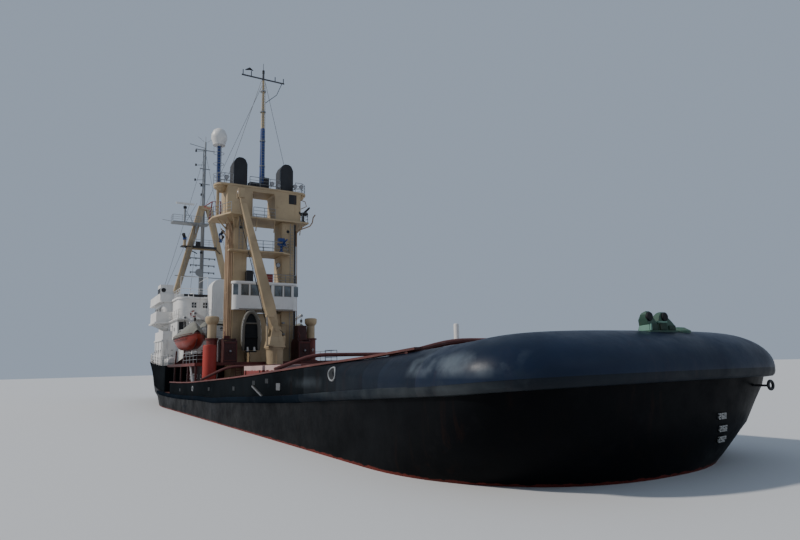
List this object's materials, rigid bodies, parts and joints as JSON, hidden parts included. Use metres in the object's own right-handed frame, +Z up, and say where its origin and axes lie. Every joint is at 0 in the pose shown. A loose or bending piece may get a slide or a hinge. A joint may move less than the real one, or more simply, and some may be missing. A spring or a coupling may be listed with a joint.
{
  "type": "ocean-going salvage and towing tug, 1:10 scale model",
  "caption": "Ocean salvage and towing tug afloat, 1:10 scale: long low towing deck, twin-leg uptake tower, deck crane, propellers, rudders and boats in davits.",
  "frame": {"origin": "midship on the centreline, at the waterline", "axes": "+X towards the bow, +Y to port, +Z up"},
  "size_m": [9.18, 1.62, 4.602],
  "materials": {
    "hull_black": "satin",
    "topside_navy": "satin",
    "red": "satin",
    "dark_red": "matt",
    "white": "satin",
    "buff": "satin",
    "grey": "satin",
    "funnel_black": "matt",
    "blue": "satin",
    "green": "matt",
    "orange": "satin",
    "rubber_grey": "matt",
    "steel": "worn",
    "bronze": "satin",
    "glass": "clear",
    "rubber_black": "matt",
    "canvas": "matt"
  },
  "bodies": {
    "ship": {"hull": "hull_black", "main_deck": "hull_black", "bulwark": "topside_navy", "rubbing_strake": "topside_navy", "cap_rails": "red", "forecastle": "topside_navy", "main_deck_house": "dark_red", "boat_deck": "white", "lower_house": "white", "deck_a": "white", "upper_house": "white", "bridge_deck": "white", "wheelhouse": "white", "wheelhouse_roof": "white", "vent_hood": "grey", "tower_leg_port": "buff", "tower_leg_starboard": "buff", "tower_base": "dark_red", "tower_top_box": "buff", "tower_platform": "buff", "mid_platform": "buff", "funnel_cap_port": "funnel_black", "funnel_cap_starboard": "funnel_black", "control_cabin": "white", "cabin_roof": "white", "main_mast": "blue", "radome_mast": "white", "exhaust_pipes_port": "grey", "exhaust_pipes_starboard": "grey", "bipod_mast": "buff", "pole_mast": "grey", "radar_platform": "grey", "winch_frame_port": "dark_red", "winch_frame_starboard": "dark_red", "crane_pedestal": "buff", "vent_cowl_port": "buff", "vent_cowl_starboard": "buff", "deck_boxes": "red", "tow_pins": "green", "inflatable_boat": "rubber_grey", "nozzle_port": "dark_red", "nozzle_starboard": "dark_red", "windlass": "grey"},
    "propeller_port": {"propeller_port": "bronze"},
    "propeller_starboard": {"propeller_starboard": "bronze"},
    "rudder_port": {"rudder_port": "dark_red"},
    "rudder_starboard": {"rudder_starboard": "dark_red"},
    "radar_scanner": {"radar_scanner": "grey"},
    "winch_drum_port": {"winch_drum_port": "steel"},
    "winch_drum_starboard": {"winch_drum_starboard": "steel"},
    "crane_turret": {"crane_turret": "buff"},
    "crane_jib": {"crane_jib": "buff"},
    "davits_port": {"davits_port": "white"},
    "davits_starboard": {"davits_starboard": "white"},
    "lifeboat_port": {"lifeboat_port": "orange"},
    "lifeboat_starboard": {"lifeboat_starboard": "orange"},
    "windlass_drum": {"windlass_drum": "steel"},
    "house_door": {"house_door": "white"},
    "wing_door_port": {"wing_door_port": "white"},
    "wing_door_starboard": {"wing_door_starboard": "white"}
  },
  "joints": [
    {"name": "propeller_port_spin", "type": "hinge", "parent": "ship", "child": "propeller_port", "pos_m": [-3.91, 0.33, -0.39], "axis": [1, 0, 0], "continuous": true},
    {"name": "propeller_starboard_spin", "type": "hinge", "parent": "ship", "child": "propeller_starboard", "pos_m": [-3.91, -0.33, -0.39], "axis": [1, 0, 0], "continuous": true},
    {"name": "rudder_port_turn", "type": "hinge", "parent": "ship", "child": "rudder_port", "pos_m": [-4.145, 0.33, -0.39], "axis": [0, 0, 1], "range_deg": [-35, 35]},
    {"name": "rudder_starboard_turn", "type": "hinge", "parent": "ship", "child": "rudder_starboard", "pos_m": [-4.145, -0.33, -0.39], "axis": [0, 0, 1], "range_deg": [-35, 35]},
    {"name": "radar_spin", "type": "hinge", "parent": "ship", "child": "radar_scanner", "pos_m": [3.05, 0.32, 2.87], "axis": [0, 0, 1], "continuous": true},
    {"name": "winch_drum_port_spin", "type": "hinge", "parent": "ship", "child": "winch_drum_port", "pos_m": [0.035, 0.415, 0.585], "axis": [0, 1, 0], "continuous": true},
    {"name": "winch_drum_starboard_spin", "type": "hinge", "parent": "ship", "child": "winch_drum_starboard", "pos_m": [0.035, -0.355, 0.585], "axis": [0, 1, 0], "continuous": true},
    {"name": "crane_slew", "type": "hinge", "parent": "ship", "child": "crane_turret", "pos_m": [-0.17, 0, 0.61], "axis": [0, 0, 1], "range_deg": [0, 180]},
    {"name": "crane_luff", "type": "hinge", "parent": "crane_turret", "child": "crane_jib", "pos_m": [-0.17, 0, 0.79], "axis": [-1, 0, 0], "range_deg": [0, 65]},
    {"name": "davits_port_swing", "type": "hinge", "parent": "ship", "child": "davits_port", "pos_m": [0.95, 0.46, 0.505], "axis": [-1, 0, 0], "range_deg": [0, 50]},
    {"name": "davits_starboard_swing", "type": "hinge", "parent": "ship", "child": "davits_starboard", "pos_m": [0.95, -0.46, 0.505], "axis": [1, 0, 0], "range_deg": [0, 50]},
    {"name": "lifeboat_port_level", "type": "hinge", "parent": "davits_port", "child": "lifeboat_port", "pos_m": [0.95, 0.605, 1.015], "axis": [-1, 0, 0], "range_deg": [-50, 0]},
    {"name": "lifeboat_starboard_level", "type": "hinge", "parent": "davits_starboard", "child": "lifeboat_starboard", "pos_m": [0.95, -0.605, 1.015], "axis": [1, 0, 0], "range_deg": [-50, 0]},
    {"name": "windlass_spin", "type": "hinge", "parent": "ship", "child": "windlass_drum", "pos_m": [3.8, 0, 0.665], "axis": [0, 1, 0], "continuous": true},
    {"name": "house_door_swing", "type": "hinge", "parent": "ship", "child": "house_door", "pos_m": [1.9, 0.55, 0.92], "axis": [0, 0, -1], "range_deg": [0, 100]},
    {"name": "wing_door_port_swing", "type": "hinge", "parent": "ship", "child": "wing_door_port", "pos_m": [2.66, 0.64, 1.17], "axis": [0, 0, -1], "range_deg": [0, 95]},
    {"name": "wing_door_starboard_swing", "type": "hinge", "parent": "ship", "child": "wing_door_starboard", "pos_m": [2.66, -0.64, 1.17], "axis": [0, 0, 1], "range_deg": [0, 95]}
  ],
  "couplings": [
    {"joint": "lifeboat_port_level", "follows": "davits_port_swing", "ratio": -1},
    {"joint": "lifeboat_starboard_level", "follows": "davits_starboard_swing", "ratio": -1}
  ]
}
